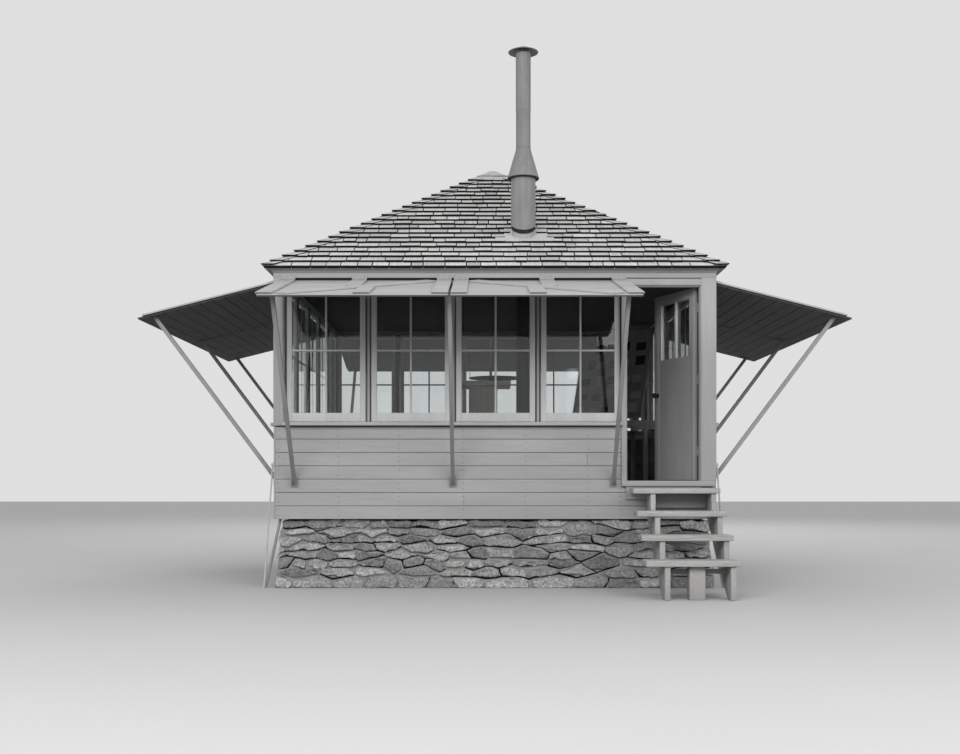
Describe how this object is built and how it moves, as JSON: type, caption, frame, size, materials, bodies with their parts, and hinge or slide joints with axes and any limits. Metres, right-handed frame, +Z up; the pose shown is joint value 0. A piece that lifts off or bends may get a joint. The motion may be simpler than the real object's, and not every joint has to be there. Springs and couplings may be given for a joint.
{
  "type": "fire lookout tower",
  "caption": "One-room hip-roofed lookout cab on a rubble foundation, windows all round under propped shutters, with a hinged door, a plank stair and a stove chimney.",
  "frame": {"origin": "on the ground under the middle of the cab and of the shutters' reach", "axes": "+Z up, the door and stair face -Y, +X to the right when looking at the front"},
  "size_m": [7.0632, 7.0632, 5.5103],
  "materials": {
    "rubble_stone": "rough split field stone in lime mortar",
    "painted_siding": "weathered light paint on rustic siding",
    "painted_trim": "light paint on sawn boards",
    "painted_sash": "light paint on sash stock",
    "window_glass": "clear drawn glass",
    "painted_door": "light paint, dulled",
    "dark_iron": "black iron",
    "painted_hinge": "light paint over strap iron",
    "floor_boards": "worn bare boards",
    "ceiling_boards": "dark beaded boards",
    "wood_shingles": "silvered split shingles",
    "shutter_boards": "light paint above, bare dark boards beneath",
    "painted_prop": "light paint on square stock",
    "weathered_plank": "bare weathered plank",
    "galvanised_sheet": "dull galvanised sheet with streaks",
    "galvanised_rod": "dull galvanised rod and pipe",
    "tarred_packing": "tarred rope packing",
    "varnished_cabinet": "varnished boards",
    "display_panel": "dull painted board with pinned sheets",
    "finder_metal": "dark enamel"
  },
  "bodies": {
    "cab": {"ceiling": "ceiling_boards", "chimney_flue": "galvanised_sheet", "chimney_packing": "tarred_packing", "chimney_rain_cap": "galvanised_sheet", "chimney_roof_jack": "galvanised_sheet", "chimney_sleeve": "galvanised_sheet", "chimney_storm_collar": "galvanised_sheet", "corner_boards": "painted_trim", "corner_posts": "painted_trim", "corner_table": "varnished_cabinet", "crown_moulding": "painted_trim", "display_board": "display_panel", "door_frame": "painted_trim", "door_hinges_jamb": "dark_iron", "door_threshold": "painted_trim", "fascia": "painted_trim", "fire_finder_stand": "varnished_cabinet", "fire_finder_table": "finder_metal", "floor_deck": "floor_boards", "floor_frame": "floor_boards", "foundation_back": "rubble_stone", "foundation_front": "rubble_stone", "foundation_left": "rubble_stone", "foundation_right": "rubble_stone", "prop_brackets": "dark_iron", "roof_back": "wood_shingles", "roof_cap": "galvanised_sheet", "roof_front": "wood_shingles", "roof_left": "wood_shingles", "roof_right": "wood_shingles", "shutter_hinges": "painted_hinge", "shutter_props": "painted_prop", "shutters_back": "shutter_boards", "shutters_front": "shutter_boards", "shutters_left": "shutter_boards", "shutters_right": "shutter_boards", "stair_frame": "weathered_plank", "stay_pipes": "galvanised_rod", "step_1": "weathered_plank", "step_2": "weathered_plank", "step_3": "weathered_plank", "step_4": "weathered_plank", "stove": "dark_iron", "stove_pipe": "dark_iron", "tie_rods": "galvanised_rod", "wall_back": "painted_siding", "wall_front": "painted_siding", "wall_left": "painted_siding", "wall_plate": "painted_trim", "wall_right": "painted_siding", "window_glass": "window_glass", "windows_back": "painted_sash", "windows_front": "painted_sash", "windows_left": "painted_sash", "windows_right": "painted_sash"},
    "door": {"door_leaf": "painted_door", "door_glass": "window_glass", "door_knobs": "dark_iron", "door_hinges_leaf": "dark_iron"}
  },
  "joints": [
    {"name": "door_hinge", "type": "hinge", "parent": "cab", "child": "door", "pos_m": [2.017, -2.02, 1.052], "axis": [0, 0, 1], "range_deg": [-22, 66]}
  ]
}
